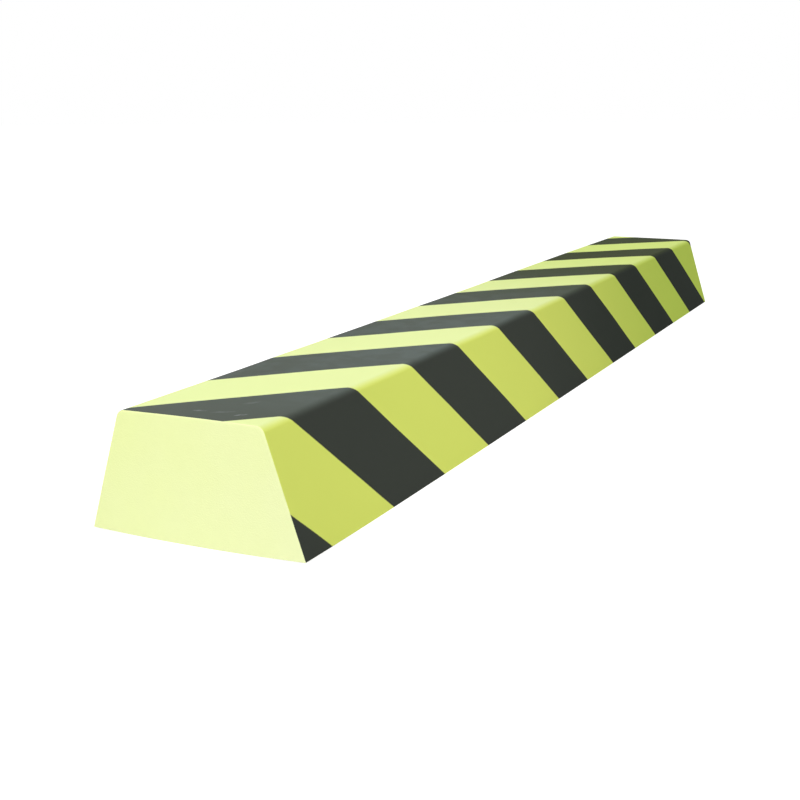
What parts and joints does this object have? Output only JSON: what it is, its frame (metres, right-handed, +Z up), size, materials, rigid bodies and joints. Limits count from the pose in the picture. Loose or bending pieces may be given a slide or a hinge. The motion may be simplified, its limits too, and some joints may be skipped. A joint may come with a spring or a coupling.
{
  "type": "foam impact protector",
  "caption": "Soft foam bar with a flat-topped trapezoidal section and wrapped diagonal warning stripes, fixed by its flat base along beams, walls and conveyor frames to soften knocks.",
  "frame": {"origin": "middle of the flat base that the bar lies on and is fixed by", "axes": "+X along the bar's length, +Y across its width, +Z up from the base through the flat top"},
  "size_m": [1, 0.15, 0.0775],
  "materials": {
    "striped_foam": "satin skin of soft foam, fluorescent yellow-green with diagonal black stripes of the same width, plain on the ends and the base"
  },
  "bodies": {
    "root": {"foam_bar": "striped_foam"}
  },
  "joints": []
}
